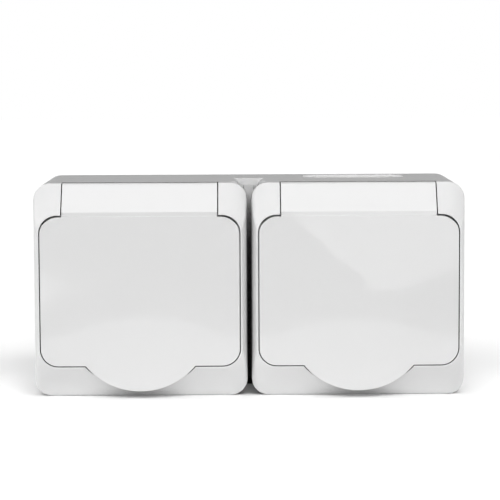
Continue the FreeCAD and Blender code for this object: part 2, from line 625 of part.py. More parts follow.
# Lid: panel, thumb tab and hinge strip in one moulding, domed by a large sphere.
# The strip follows the cover's brow and turns round the pin in the trough.
def lid(name):
    body = new_body(f"lid_{name}")
    r = "Sizes.lid_corner"
    top = f"({EAR_LINE} - Sizes.ear_gap)"
    shape = rounded(f"-{LID_HALF}", LID_HALF, LID_LOW, top, (r, r, r, r))
    pad(body, outline(new_sketch(body, "panel", level=UNDER), shape), "Sizes.panel_wall")
    tab_back = f"({PANEL} - Sizes.tab_wall)"
    tab = circle(new_sketch(body, "tab", level=tab_back), "0", TAB_Z, "Sizes.tab_radius")
    pad(body, tab, "Sizes.tab_wall")
    neck = new_sketch(body, "neck", level=UNDER)
    outline(neck, rectangle(f"-{STRIP_HALF}", STRIP_HALF, f"{top} - {r}", f"{EAR_LINE} - Sizes.lid_gap"))
    pad(body, neck, "Sizes.panel_wall")

    sag = "(pow(Sizes.dome_reach; 2) / (2 * Sizes.crown_radius))"
    dome = new_sketch(body, "dome", "XY_Plane", f"({BAY_LOW} + {EAR_LINE}) / 2")
    outline(dome, [
        ("0", f"-{PANEL}", "Sizes.crown_radius", 1), ("Sizes.dome_reach", f"-{PANEL} + {sag}"),
        ("Sizes.dome_reach", f"-{PANEL} - {OVER}"), ("0", f"-{PANEL} - {OVER}"),
    ])
    domed = body.newObject("PartDesign::Groove", f"{body.Name}_domed")
    domed.Profile = dome
    domed.ReferenceAxis = (dome, ["V_Axis"])
    domed.Angle = 360
    skirt = new_sketch(body, "skirt", level=f"{PANEL} - Sizes.lid_depth")
    outline(skirt, shape)
    inner = f"({r} - Sizes.lid_skirt)"
    outline(skirt, rounded(
        f"-{LID_HALF} + Sizes.lid_skirt", f"{LID_HALF} - Sizes.lid_skirt",
        f"{LID_LOW} + Sizes.lid_skirt", f"{top} - Sizes.lid_skirt", (inner, inner, inner, inner),
    ))
    pad(body, skirt, "Sizes.lid_depth - Sizes.panel_wall")

    out = f"({LIP_MID} + Sizes.seal_width / 2 + Sizes.seal_play)"
    within = f"({LIP_MID} - Sizes.seal_width / 2 - Sizes.seal_play)"
    ring = new_sketch(body, "seal_ring", level=GROOVE_FACE)
    circle(ring, "0", "0", f"{out} + Sizes.groove_wall")
    circle(ring, "0", "0", f"{within} - Sizes.groove_wall")
    pad(body, ring, f"{UNDER} - {GROOVE_FACE}")
    groove = new_sketch(body, "seal_groove", level=GROOVE_FACE)
    circle(groove, "0", "0", out)
    circle(groove, "0", "0", within)
    pocket(body, groove, "Sizes.groove_depth", back=True)

    step = f"({PANEL} - Sizes.step_depth)"
    step_top = f"({MID} - ({step} - {FACE}) / {SLOPE})"
    barrel_in = "(Sizes.hinge_radius - Sizes.barrel_wall)"
    turn_x, turn_z = "cos(Sizes.barrel_end * 1 deg)", "sin(Sizes.barrel_end * 1 deg)"
    inside_top = f"({AXIS_Z} + {barrel_in})"
    inside_low = f"({EAR_LINE} + Sizes.step_height)"

    def slope_depth(z):
        return f"({FACE} + ({MID} - {z}) * {SLOPE} - Sizes.strip_wall)"

    strip = new_sketch(body, "strip", "YZ_Plane", f"-{STRIP_HALF}")
    outline(strip, [
        (f"-{step}", f"{EAR_LINE} - 3 * Sizes.lid_gap"),
        (f"-{step}", step_top),
        (f"-{FACE}", MID),
        (f"-{AXIS_D}", MID, "Sizes.hinge_radius", -1),
        (f"-{AXIS_D} - Sizes.hinge_radius * {turn_x}", f"{AXIS_Z} + Sizes.hinge_radius * {turn_z}"),
        (f"-{AXIS_D} - {barrel_in} * {turn_x}", f"{AXIS_Z} + {barrel_in} * {turn_z}", barrel_in, 1),
        (f"-{AXIS_D}", inside_top),
        (f"-{slope_depth(inside_top)}", inside_top),
        (f"-{slope_depth(inside_low)}", inside_low),
        (f"-{UNDER}", f"{EAR_LINE} - Sizes.lid_gap / 2"),
        (f"-{UNDER}", f"{EAR_LINE} - 3 * Sizes.lid_gap"),
    ])
    hook = pad(body, strip, f"2 * {STRIP_HALF}")
    dress(
        body, "Fillet", hook,
        lambda p, e: abs(p.y + size(FACE)) < 1e-4 and abs(p.z - size(MID)) < 1e-4, "Sizes.strip_edge",
    )
    window = new_sketch(body, "spring_window", level=f"{AXIS_D} - Sizes.roof_setback - Sizes.lid_gap")
    outline(window, rectangle(
        "-Sizes.spring_room / 2", "Sizes.spring_room / 2", AXIS_Z, f"{MID} + {OVER}"
    ))
    pocket(body, window, "Sizes.hinge_radius")
    knuckle = f"({STRIP_HALF} - Sizes.spring_room / 2)"
    for side, level in (("left", f"-{STRIP_HALF}"), ("right", "Sizes.spring_room / 2")):
        boss = new_sketch(body, f"knuckle_{side}", "YZ_Plane", level)
        circle(boss, f"-{AXIS_D}", AXIS_Z, "Sizes.knuckle_radius")
        pad(body, boss, knuckle)
    bore = new_sketch(body, "pin_bore", "YZ_Plane", f"{STRIP_HALF}")
    circle(bore, f"-{AXIS_D}", AXIS_Z, "Sizes.pin_radius + Sizes.pin_play")
    pocket(body, bore, f"2 * {STRIP_HALF}")
    ear_corner = f"pow({AXIS_Z} - {EAR_LINE}; 2) + pow({LAND} - {AXIS_D}; 2)"
    near = f"(sqrt({ear_corner}) + Sizes.hinge_gap)"
    far = f"({near} + Sizes.corner_sweep)"
    sweep_radius = f"((pow({r}; 2) + pow(Sizes.corner_sweep; 2)) / (2 * Sizes.corner_sweep))"
    start, side_line = "-Sizes.hinge_gap", f"({LID_HALF} + Sizes.hinge_gap)"
    sweep = new_sketch(body, "ear_clearance", "XY_Plane", AXIS_Z)
    sweep.setExpression("AttachmentOffset.Base.y", f"-{AXIS_D}")
    for side in (1, -1):
        outline(sweep, mirrored([
            (STRIP_HALF, start), (side_line, start), (side_line, f"-{far}"),
            (LID_HALF, f"-{far}", sweep_radius, 1),
            (f"{LID_HALF} - {r}", f"-{near}"), (STRIP_HALF, f"-{near}"),
        ], side))
    swept = body.newObject("PartDesign::Groove", f"{body.Name}_ear_swing")
    swept.Profile = sweep
    swept.ReferenceAxis = (sweep, ["H_Axis"])
    swept.Angle = 360
    return body


# Lid seal: a rubber ring in the lid's groove that closes on the cover's lip.
def lid_seal(name):
    body = new_body(f"lid_seal_{name}")
    ring = new_sketch(body, "ring", level=SEAL_FACE)
    circle(ring, "0", "0", f"{LIP_MID} + Sizes.seal_width / 2")
    circle(ring, "0", "0", f"{LIP_MID} - Sizes.seal_width / 2")
    pad(body, ring, "Sizes.seal_proud + Sizes.groove_depth")
    return body


# Cover seal: a rubber cord in the box's rim, under the cover's back edge.
def cover_seal(name, toward):
    body = new_body(f"cover_seal_{name}")
    cord = new_sketch(body, "cord", level="Sizes.box_depth - Sizes.gasket_depth")
    for inset in GASKET_INSETS:
        outline(cord, skirt_outline(toward, inset))
    pad(body, cord, "Sizes.gasket_depth")
    return body


# Plug well: a round cup with a flange behind the bay's floor, a guide rib on
# each side, slots for the earth clips and two pin holes with a lead-in.
def socket_well(name):
    body = new_body(f"socket_well_{name}")
    cup = circle(new_sketch(body, "cup", level=WELL_BACK), "0", "0", WELL_OUT)
    pad(body, cup, f"{RIM} - {WELL_BACK}")
    collar = new_sketch(body, "collar", level=f"{BAY_BACK} - Sizes.flange_wall")
    circle(collar, "0", "0", "Sizes.flange_radius")
    pad(body, collar, "Sizes.flange_wall")
    inside = circle(new_sketch(body, "inside", level=RIM), "0", "0", "Sizes.well_radius")
    pocket(body, inside, "Sizes.well_depth")
    guides = new_sketch(body, "guides", level=WELL_FACE)
    near, far = "(Sizes.well_radius - Sizes.guide_reach)", f"({WELL_OUT} - Sizes.well_wall / 2)"
    outline(guides, rectangle(near, far, "-Sizes.guide_width / 2", "Sizes.guide_width / 2"))
    outline(guides, rectangle(f"-{far}", f"-{near}", "-Sizes.guide_width / 2", "Sizes.guide_width / 2"))
    pad(body, guides, "Sizes.well_depth - Sizes.guide_drop")
    slots = new_sketch(body, "clip_slots", level=f"{WELL_FACE} + Sizes.slot_start + Sizes.slot_length")
    half = "(Sizes.clip_width / 2 + Sizes.clip_play)"
    outline(slots, rectangle(f"-{half}", half, f"-{WELL_OUT} - {OVER}", f"{WELL_OUT} + {OVER}"))
    pocket(body, slots, "Sizes.slot_length")
    sink = new_sketch(body, "screw_sink", level=WELL_FACE)
    circle(sink, "0", "0", "Sizes.centre_head + Sizes.centre_play")
    pocket(body, sink, "Sizes.centre_sink")
    holes = new_sketch(body, "holes", level=WELL_FACE)
    circle(holes, "0", "0", "Sizes.centre_radius + Sizes.centre_play")
    circle(holes, f"-{POLE}", "0", "Sizes.pole_radius")
    circle(holes, POLE, "0", "Sizes.pole_radius")
    drilled = pocket(body, holes, "Sizes.well_floor")

    def pin_hole_mouth(p, edge):
        at_face = abs(p.y + size(WELL_FACE)) < 1e-4
        return at_face and abs(edge.Length - math.tau * size("Sizes.pole_radius")) < 1e-3

    dress(body, "Chamfer", drilled, pin_hole_mouth, "Sizes.pole_chamfer")
    return body


# Contact base: the insulating block behind the well, with chambers for the two
# pin contacts and the three terminals, and a channel for the earth strap.
def contact_base(name):
    body = new_body(f"contact_base_{name}")
    r = "Sizes.base_corner"
    wide, high = "(Sizes.base_width / 2)", "(Sizes.base_height / 2)"
    block = new_sketch(body, "block", level=BASE_BACK)
    outline(block, rounded(f"-{wide}", wide, f"-{high}", high, (r, r, r, r)))
    pad(body, block, "Sizes.base_depth")
    channel = new_sketch(body, "earth_channel", level=WELL_BACK)
    half = "(Sizes.clip_width / 2 + Sizes.channel_play)"
    outline(channel, rectangle(f"-{half}", half, f"-{high} - {OVER}", f"{high} + {OVER}"))
    pocket(body, channel, "Sizes.clip_wall")
    chambers = new_sketch(body, "pin_chambers", level=WELL_BACK)
    for side in ("-", ""):
        circle(chambers, f"{side}{POLE}", "0", "Sizes.tulip_radius + Sizes.tulip_wall + Sizes.tulip_play")
    pocket(body, chambers, "Sizes.base_depth")
    room = "(Sizes.block_size / 2 + Sizes.block_play)"
    earth = new_sketch(body, "earth_chamber", level=WELL_BACK)
    outline(earth, rectangle(
        f"-{room}", room, f"-Sizes.earth_place - {room}", f"-Sizes.earth_place + {room}"
    ))
    pocket(body, earth, "Sizes.base_depth")
    terminals = new_sketch(body, "terminal_chambers", level=BASE_BACK)
    outline(terminals, rectangle(
        f"Sizes.block_place - {room}", f"Sizes.block_place + {room}", f"-{room}", room
    ))
    outline(terminals, rectangle(
        f"-Sizes.block_place - {room}", f"-Sizes.block_place + {room}", f"-{room}", room
    ))
    pocket(body, terminals, "Sizes.base_depth - Sizes.block_setback", back=True)
    access = new_sketch(body, "screw_access", "XY_Plane", f"{high} + {OVER}")
    for side in ("-", ""):
        circle(access, f"{side}Sizes.block_place", f"-{CLAMP_D}", "Sizes.clamp_access")
    pocket(body, access, f"{high} + {OVER} - Sizes.block_size / 2")
    earth_access = new_sketch(body, "earth_access", "XY_Plane", f"-{high} - {OVER}")
    circle(earth_access, "0", f"-{CLAMP_D}", "Sizes.clamp_access")
    pocket(body, earth_access, f"{high} + {OVER} - Sizes.earth_place", back=True)
    pilot = new_sketch(body, "centre_pilot", level=WELL_BACK)
    circle(pilot, "0", "0", "Sizes.centre_radius + Sizes.screw_play")
    pocket(body, pilot, "Sizes.centre_length + Sizes.centre_sink - Sizes.well_floor + Sizes.tip_room")
    return body


# Pin contact: a slit brass tube for the plug's pin, a short bar and a terminal
# block with a wire hole from behind and a screw hole from above.
def pin_contact(name, kind, side):
    body = new_body(f"{kind}_contact_{name}")
    front = f"({WELL_BACK} - Sizes.tulip_drop)"
    back = f"({front} - Sizes.tulip_length)"
    x = f"{side} * {POLE}"
    outer = "Sizes.tulip_radius + Sizes.tulip_wall"
    pad(body, circle(new_sketch(body, "tube", level=back), x, "0", outer), "Sizes.tulip_length")
    block = new_sketch(body, "block", level=BLOCK_BACK)
    inner, far = "Sizes.block_place - Sizes.block_size / 2", "Sizes.block_place + Sizes.block_size / 2"
    outline(block, mirrored(rectangle(inner, far, "-Sizes.block_size / 2", "Sizes.block_size / 2"), side))
    pad(body, block, "Sizes.block_depth")
    bar = new_sketch(body, "bar", level=back)
    outline(bar, mirrored(rectangle(POLE, "Sizes.block_place", "-Sizes.clip_wall", "Sizes.clip_wall"), side))
    pad(body, bar, "2 * Sizes.clip_wall")
    bore = circle(new_sketch(body, "bore", level=front), x, "0", "Sizes.tulip_radius")
    pocket(body, bore, "Sizes.tulip_length")
    slit = new_sketch(body, "slit", level=front)
    reach = f"(Sizes.tulip_radius + Sizes.tulip_wall + {OVER})"
    outline(slit, rectangle(
        f"{x} - Sizes.tulip_slit / 2", f"{x} + Sizes.tulip_slit / 2", f"-{reach}", reach
    ))
    pocket(body, slit, "Sizes.slit_length")
    terminal = f"{side} * Sizes.block_place"
    wire = circle(new_sketch(body, "wire_hole", level=BLOCK_BACK), terminal, "0", "Sizes.wire_radius")
    pocket(body, wire, "Sizes.block_depth - Sizes.clip_wall", back=True)
    clamp = new_sketch(body, "clamp_hole", "XY_Plane", "Sizes.block_size / 2")
    circle(clamp, terminal, f"-{CLAMP_D}", "Sizes.clamp_radius + Sizes.clamp_play")
    pocket(body, clamp, "Sizes.block_size / 2")
    return body


# Earth strap: one bent strip round the well, its ends sprung into the well as
# clips, with its terminal block behind it.
def earth_strap(name):
    body = new_body(f"earth_strap_{name}")
    wall = "Sizes.clip_wall"
    near = f"({WELL_OUT} + Sizes.clip_clear)"
    far = f"({near} + {wall})"
    low, high = f"({WELL_BACK} - {wall})", WELL_BACK
    slot_low = f"({WELL_FACE} + Sizes.slot_start)"
    slot_high = f"({slot_low} + Sizes.slot_length)"
    nose = "Sizes.clip_nose"
    fold = f"({slot_high} - Sizes.clip_end)"
    bend = f"(({slot_low} + {slot_high}) / 2 + Sizes.clip_bend)"
    foot = f"({slot_low} + Sizes.clip_foot)"
    upper = [
        (low, far),
        (fold, far),
        (fold, near),
        (bend, nose),
        (foot, f"{nose} + Sizes.clip_return"),
        (foot, f"{nose} + Sizes.clip_return + {wall}"),
        (bend, f"{nose} + {wall}"),
        (f"{fold} - {wall}", near),
        (high, near),
    ]
    lower = [(d, f"-({z})") for d, z in reversed(upper)]
    strip = new_sketch(body, "strip", "YZ_Plane", "-Sizes.clip_width / 2")
    outline(strip, [(f"-({d})", z) for d, z in upper + lower])
    pad(body, strip, "Sizes.clip_width")
    block = new_sketch(body, "block", level=BLOCK_BACK)
    half = "Sizes.block_size / 2"
    outline(block, rectangle(
        f"-{half}", half, f"-Sizes.earth_place - {half}", f"-Sizes.earth_place + {half}"
    ))
    pad(body, block, f"{low} - {BLOCK_BACK}")
    wire = new_sketch(body, "wire_hole", level=BLOCK_BACK)
    circle(wire, "0", "-Sizes.earth_place", "Sizes.wire_radius")
    pocket(body, wire, "Sizes.block_depth - Sizes.clip_wall", back=True)
    clamp = new_sketch(body, "clamp_hole", "XY_Plane", f"-Sizes.earth_place - {half}")
    circle(clamp, "0", f"-{CLAMP_D}", "Sizes.clamp_radius + Sizes.clamp_play")
    pocket(body, clamp, half, back=True)
    passing = new_sketch(body, "screw_hole", level=WELL_BACK)
    circle(passing, "0", "0", "Sizes.centre_radius + 2 * Sizes.centre_play")
    pocket(body, passing, wall)
    return body


# Screws: a turned profile with a slot, made once at the origin of its own body
# with the shank along +Y, then placed.
def screw(label, radius, length, head_radius, head_height):
    body = new_body(label)
    profile = new_sketch(body, "profile", "XY_Plane")
    outline(profile, [
        ("0", f"-{head_height}"), (head_radius, f"-{head_height}"), (head_radius, "0"),
        (radius, "0"), (radius, f"{length} - {radius}"), ("0", length),
    ])
    turned = body.newObject("PartDesign::Revolution", f"{label}_turned")
    turned.Profile = profile
    turned.ReferenceAxis = (profile, ["V_Axis"])
    turned.Angle = 360
    slot = new_sketch(body, "slot", level=head_height)
    reach = f"({head_radius} + {OVER})"
    outline(slot, rectangle(f"-{reach}", reach, "-Sizes.slot_cut / 2", "Sizes.slot_cut / 2"))
    pocket(body, slot, "Sizes.slot_cut")
    return body


def cover_screws(name):
    """Four cover screws as one group: one screw, mirrored across and then upwards."""
    one = screw(
        f"cover_screw_{name}_one", "Sizes.screw_radius", "Sizes.screw_length",
        "Sizes.screw_head", "Sizes.head_height",
    )
    one.setExpression("Placement.Base.x", SCREW_X)
    one.setExpression("Placement.Base.y", f"-{BAY}")
    one.setExpression("Placement.Base.z", SCREW_Z)
    twin = doc.addObject("Part::Mirroring", f"cover_screw_{name}_twin")
    twin.Source, twin.Normal = one, V(1, 0, 0)
    pair = doc.addObject("Part::Compound", f"cover_screw_{name}_pair")
    pair.Links = [one, twin]
    below = doc.addObject("Part::Mirroring", f"cover_screw_{name}_below")
    below.Source, below.Normal = pair, V(0, 0, 1)
    group = doc.addObject("Part::Compound", f"cover_screws_{name}")
    group.Links = [pair, below]
    return group


def terminal_screw(name, kind, x, start, slot_start):
    """A headless screw with a slot across one end, upright at x, its lower end at start."""
    shank = doc.addObject("Part::Cylinder", f"clamp_shank_{kind}_{name}")
    shank.setExpression("Radius", "Sizes.clamp_radius")
    shank.setExpression("Height", "Sizes.clamp_length")
    shank.setExpression("Placement.Base.x", x)
    shank.setExpression("Placement.Base.y", f"-{CLAMP_D}")
    shank.setExpression("Placement.Base.z", start)
    slot = doc.addObject("Part::Box", f"clamp_slot_{kind}_{name}")
    slot.setExpression("Length", "3 * Sizes.clamp_radius")
    slot.setExpression("Width", "Sizes.slot_cut")
    slot.setExpression("Height", "Sizes.slot_cut")
    slot.setExpression("Placement.Base.x", f"{x} - 1.5 * Sizes.clamp_radius")
    slot.setExpression("Placement.Base.y", f"-{CLAMP_D} - Sizes.slot_cut / 2")
    slot.setExpression("Placement.Base.z", slot_start)
    cut = doc.addObject("Part::Cut", f"clamp_screw_{kind}_{name}")
    cut.Base, cut.Tool = shank, slot
    return cut


def terminal_screws(name):
    """Three terminal screws as one group: two reached from above and the earth's from below."""
    upper = "Sizes.clamp_start"
    upper_slot = "Sizes.clamp_start + Sizes.clamp_length - Sizes.slot_cut"
    lower = "-Sizes.earth_place - Sizes.clamp_start - Sizes.clamp_length"
    group = doc.addObject("Part::Compound", f"terminal_screws_{name}")
    group.Links = [
        terminal_screw(name, "live", "-Sizes.block_place", upper, upper_slot),
        terminal_screw(name, "neutral", "Sizes.block_place", upper, upper_slot),
        terminal_screw(name, "earth", "0", lower, lower),
    ]
    return group


def well_screw(name):
    body = screw(
        f"well_screw_{name}", "Sizes.centre_radius", "Sizes.centre_length",
        "Sizes.centre_head", "Sizes.centre_sink",
    )
    body.setExpression("Placement.Base.y", f"-{WELL_FACE} + Sizes.centre_sink")
    return body


# Hinge pin: a steel rod driven in from the side that faces the other cover.
def hinge_pin(name):
    body = new_body(f"hinge_pin_{name}")
    half = f"({NOTCH_HALF} + Sizes.pin_grip - Sizes.pin_end)"
    shank = new_sketch(body, "shank", "YZ_Plane", f"-{half}")
    pad(body, circle(shank, f"-{AXIS_D}", AXIS_Z, "Sizes.pin_radius"), f"2 * {half}")
    return body


# Hinge spring: a torsion spring round the pin, modelled about its own axis with
# one leg down the trough's back wall and one forward under the lid's panel.
def hinge_spring(name):
    body = new_body(f"hinge_spring_{name}")
    half = "Sizes.spring_wire / 2"
    start = "(-Sizes.spring_turns * Sizes.spring_pitch / 2)"
    section = new_sketch(body, "section", "XY_Plane")
    outline(section, rectangle(
        f"{start} - {half}", f"{start} + {half}",
        f"Sizes.spring_radius - {half}", f"Sizes.spring_radius + {half}",
    ))
    coil = body.newObject("PartDesign::AdditiveHelix", f"{body.Name}_coil")
    coil.Profile = section
    coil.ReferenceAxis = (section, ["H_Axis"])
    coil.Mode = "pitch-turns-angle"
    coil.setExpression("Pitch", "Sizes.spring_pitch")
    turns = "(Sizes.spring_turns + (180 - Sizes.spring_lean) / 360)"
    coil.setExpression("Turns", turns)
    heel = new_sketch(body, "heel", "YZ_Plane", f"{start} - {half}")
    outline(heel, rectangle(
        f"Sizes.spring_radius - {half}", f"Sizes.spring_radius + {half}", "-Sizes.spring_heel", "0"
    ))
    pad(body, heel, "Sizes.spring_wire")
    lean_x, lean_z = "sin(Sizes.spring_lean * 1 deg)", "cos(Sizes.spring_lean * 1 deg)"
    leg = new_sketch(body, "leg", "YZ_Plane", f"{start} + Sizes.spring_pitch * {turns} - {half}")

    def along(radius, run):
        return f"-({radius}) * {lean_z} - {run} * {lean_x}", f"({radius}) * {lean_x} - {run} * {lean_z}"

    near, far = f"Sizes.spring_radius - {half}", f"Sizes.spring_radius + {half}"
    reach = "Sizes.spring_leg"
    outline(leg, [along(near, "0"), along(far, "0"), along(far, reach), along(near, reach)])
    pad(body, leg, "Sizes.spring_wire")
    body.setExpression("Placement.Base.y", f"-{AXIS_D}")
    body.setExpression("Placement.Base.z", AXIS_Z)
    return body


back_box()
cable_seal()
for gang, toward in (("left", 1), ("right", -1)):
    pieces = [
        cover(gang, toward), lid(gang), lid_seal(gang), cover_seal(gang, toward), socket_well(gang),
        contact_base(gang), pin_contact(gang, "live", -1), pin_contact(gang, "neutral", 1),
        earth_strap(gang), cover_screws(gang), terminal_screws(gang), well_screw(gang),
        hinge_pin(gang), hinge_spring(gang),
    ]
    for piece in pieces:
        piece.setExpression("Placement.Base.x", f"-{toward} * {PITCH} / 2")
doc.recompute()

for thing in doc.Objects:
    if any(state in thing.State for state in ("Invalid", "Error")):
        raise RuntimeError(f"{thing.Name} could not be built: {thing.State}")

SHARED = ("back_box", "cable_seal")
EACH = (
    "cover", "lid", "lid_seal", "cover_seal", "socket_well", "contact_base", "live_contact",
    "neutral_contact", "earth_strap", "cover_screws", "terminal_screws", "well_screw",
    "hinge_pin", "hinge_spring",
)
nodes = list(SHARED) + [f"{piece}_{gang}" for gang in ("left", "right") for piece in EACH]
parts = {}
for node in nodes:
    part = doc.getObjectsByLabel(node)[0]
    if part.Shape.isNull() or not part.Shape.isValid() or not part.Shape.Solids:
        raise RuntimeError(f"{node} has no valid shape")
    parts[node] = part

os.makedirs("parts", exist_ok=True)
for node, part in parts.items():
    part.Shape.exportStep(os.path.join("parts", f"{node}.step"))
print(len(parts), "sub-parts written")
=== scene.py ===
import json
import math

import bpy
from mathutils import Matrix, Vector


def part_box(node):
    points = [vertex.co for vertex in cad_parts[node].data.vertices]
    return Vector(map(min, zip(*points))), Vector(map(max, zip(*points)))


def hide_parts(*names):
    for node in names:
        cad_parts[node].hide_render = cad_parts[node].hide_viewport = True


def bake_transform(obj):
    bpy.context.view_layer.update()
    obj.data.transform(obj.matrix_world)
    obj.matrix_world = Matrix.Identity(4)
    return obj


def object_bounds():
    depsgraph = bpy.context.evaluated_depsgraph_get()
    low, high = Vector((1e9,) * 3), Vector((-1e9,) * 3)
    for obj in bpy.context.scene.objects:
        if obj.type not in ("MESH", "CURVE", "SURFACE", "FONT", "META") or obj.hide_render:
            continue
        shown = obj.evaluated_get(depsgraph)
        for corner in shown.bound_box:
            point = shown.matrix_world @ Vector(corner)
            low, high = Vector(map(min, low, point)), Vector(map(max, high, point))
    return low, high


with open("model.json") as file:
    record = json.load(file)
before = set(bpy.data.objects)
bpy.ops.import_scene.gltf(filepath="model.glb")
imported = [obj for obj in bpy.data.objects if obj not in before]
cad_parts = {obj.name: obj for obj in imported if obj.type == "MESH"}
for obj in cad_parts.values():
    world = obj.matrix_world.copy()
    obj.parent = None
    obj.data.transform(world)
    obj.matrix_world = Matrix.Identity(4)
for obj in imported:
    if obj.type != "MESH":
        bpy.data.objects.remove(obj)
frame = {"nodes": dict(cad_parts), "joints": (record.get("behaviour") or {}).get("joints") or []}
cad_box = [list(corner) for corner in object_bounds()]
GANGS = ("left", "right")


# Back box: one white moulding of weatherproof plastic that both gangs sit on. Its
# tool was spark-eroded, so it has a fine matt grain, and its edges are slightly broken.
BOX_COLOUR = (0.80, 0.80, 0.80)
BOX_ROUGHNESS = 0.48
# BOX_GAP_REACH: how far the painted shade in the box's gaps reaches; it is long, so that the gap
# between the covers is painted darker.
BOX_GAP_REACH = 0.03
BOX_EDGE = 0.00035
GRAIN_SIZE = 0.00022
GRAIN_DEPTH = 0.00003
GRAIN_DULLNESS = 0.12
SINKS_PER_METRE = 22.0
CLOUDS_PER_METRE = 45.0
CLOUD_CONTRAST = 0.02
NOISE_MIDDLE = 0.5
# How far the painted shade in gaps reaches, how closed a place must be to take it, and how dark
# it gets.
GAP_REACH = 0.006
GAP_SAMPLES = 12
GAP_CLOSED = 0.05
GAP_OPEN = 0.25
GAP_LIGHT = 0.02
SAME_PLACE = 1e-6
FACET_ANGLE = math.radians(0.6)
EDGE_ANGLE = math.radians(28)
EDGE_STEPS = 3
FLAT_WEIGHT = 80


def maths(tree, operation, first, second):
    """One step of arithmetic in a node tree, on numbers or on other nodes' outputs."""
    node = tree.nodes.new("ShaderNodeMath")
    node.operation = operation
    for slot, value in enumerate((first, second)):
        if isinstance(value, (int, float)):
            node.inputs[slot].default_value = value
        else:
            tree.links.new(value, node.inputs[slot])
    return node.outputs[0]


def noise(tree, place, scale, detail):
    """A noise whose lumps are 1 / scale metres across."""
    node = tree.nodes.new("ShaderNodeTexNoise")
    node.inputs["Detail"].default_value = detail
    tree.links.new(place, node.inputs["Vector"])
    if isinstance(scale, (int, float)):
        node.inputs["Scale"].default_value = scale
    else:
        tree.links.new(scale, node.inputs["Scale"])
    return node.outputs["Fac"]


def open_group(name, inputs, outputs):
    """An empty node group; inputs are (name, kind, value), outputs (name, kind)."""
    group = bpy.data.node_groups.new(name, "ShaderNodeTree")
    for label, kind, value in inputs:
        socket = group.interface.new_socket(
            label, in_out="INPUT", socket_type=f"NodeSocket{kind}"
        )
        socket.default_value = value
    for label, kind in outputs:
        group.interface.new_socket(label, in_out="OUTPUT", socket_type=f"NodeSocket{kind}")
    given = group.nodes.new("NodeGroupInput").outputs
    out = group.nodes.new("NodeGroupOutput").inputs
    return group, given, out


def moulded_skin():
    """The grain of a tool's surface, slow sinks in a flat panel, clouded pigment, and painted
    shade that darkens gaps and slits.
    """
    group, given, out = open_group(
        "moulded_skin",
        (
            ("Colour", "Color", (*BOX_COLOUR, 1)), ("Grain", "Float", GRAIN_SIZE),
            ("Sinks", "Float", 0.0), ("Cloud", "Float", CLOUD_CONTRAST),
            ("Reach", "Float", GAP_REACH),
        ),
        (("Height", "Float"), ("Rough", "Float"), ("Tint", "Color")),
    )
    place = group.nodes.new("ShaderNodeTexCoord").outputs["Object"]
    pits = noise(group, place, maths(group, "DIVIDE", 1.0, given["Grain"]), detail=3.0)
    slow = noise(group, place, SINKS_PER_METRE, detail=0.0)
    sinks = maths(group, "MULTIPLY", slow, given["Sinks"])
    group.links.new(maths(group, "ADD", pits, sinks), out["Height"])
    pigment = noise(group, place, CLOUDS_PER_METRE, detail=2.0)
    uneven = maths(group, "SUBTRACT", pigment, NOISE_MIDDLE)
    cloud = maths(group, "MULTIPLY", uneven, given["Cloud"])
    # Painted shade: where ambient occlusion within Reach finds gaps, slits and corners, the
    # colour is darkened towards GAP_LIGHT and the roughness rises.
    gap = group.nodes.new("ShaderNodeAmbientOcclusion")
    gap.samples = GAP_SAMPLES
    group.links.new(given["Reach"], gap.inputs["Distance"])
    light = group.nodes.new("ShaderNodeMapRange")
    light.interpolation_type = "SMOOTHSTEP"
    light.inputs["From Min"].default_value = GAP_CLOSED
    light.inputs["From Max"].default_value = GAP_OPEN
    light.inputs["To Min"].default_value = GAP_LIGHT
    group.links.new(gap.outputs["AO"], light.inputs["Value"])
    grit = maths(group, "SUBTRACT", pits, NOISE_MIDDLE)
    fine = maths(group, "MULTIPLY", grit, GRAIN_DULLNESS)
    rougher_in_shade = maths(group, "SUBTRACT", 1.0, light.outputs["Result"])
    group.links.new(maths(group, "ADD", fine, rougher_in_shade), out["Rough"])
    shade = group.nodes.new("ShaderNodeHueSaturation")
    clouded = maths(group, "ADD", cloud, 1.0)
    value = maths(group, "MULTIPLY", clouded, light.outputs["Result"])
    group.links.new(value, shade.inputs["Value"])
    group.links.new(given["Colour"], shade.inputs["Color"])
    group.links.new(shade.outputs["Color"], out["Tint"])
    return group


SKIN = moulded_skin()


def moulded(name, colour, roughness, depth=GRAIN_DEPTH, **more):
    """A moulded plastic or rubber; more sets the skin's other inputs."""
    material = bpy.data.materials.new(name)
    material.use_nodes = True
    tree = material.node_tree
    shader = tree.nodes["Principled BSDF"]
    skin = tree.nodes.new("ShaderNodeGroup")
    skin.node_tree = SKIN
    skin.inputs["Colour"].default_value = (*colour, 1)
    for label, value in more.items():
        skin.inputs[label].default_value = value
    rough = maths(tree, "ADD", skin.outputs["Rough"], roughness)
    tree.links.new(rough, shader.inputs["Roughness"])
    tree.links.new(skin.outputs["Tint"], shader.inputs["Base Color"])
    bump = tree.nodes.new("ShaderNodeBump")
    bump.inputs["Distance"].default_value = depth
    tree.links.new(skin.outputs["Height"], bump.inputs["Height"])
    tree.links.new(bump.outputs["Normal"], shader.inputs["Normal"])
    return material


def finish_node(name, material, edge=0.0, steps=EDGE_STEPS):
    """Gives a carried-over piece its finish, and breaks its sharp edges as its tool does."""
    node = frame["nodes"][name]
    node.data.materials.clear()
    node.data.materials.append(material)
    if edge:
        weld = node.modifiers.new("weld", "WELD")
        weld.merge_threshold = SAME_PLACE
        flat = node.modifiers.new("flat", "DECIMATE")
        flat.decimate_type = "DISSOLVE"
        flat.angle_limit = FACET_ANGLE
        bevel = node.modifiers.new("edge", "BEVEL")
        bevel.width = edge
        bevel.segments = steps
        bevel.limit_method = "ANGLE"
        bevel.angle_limit = EDGE_ANGLE
        normals = node.modifiers.new("normals", "WEIGHTED_NORMAL")
        normals.weight = FLAT_WEIGHT
        node.data.shade_smooth()


box_white = moulded("box_white", BOX_COLOUR, BOX_ROUGHNESS, Reach=BOX_GAP_REACH)
finish_node("back_box", box_white, BOX_EDGE)


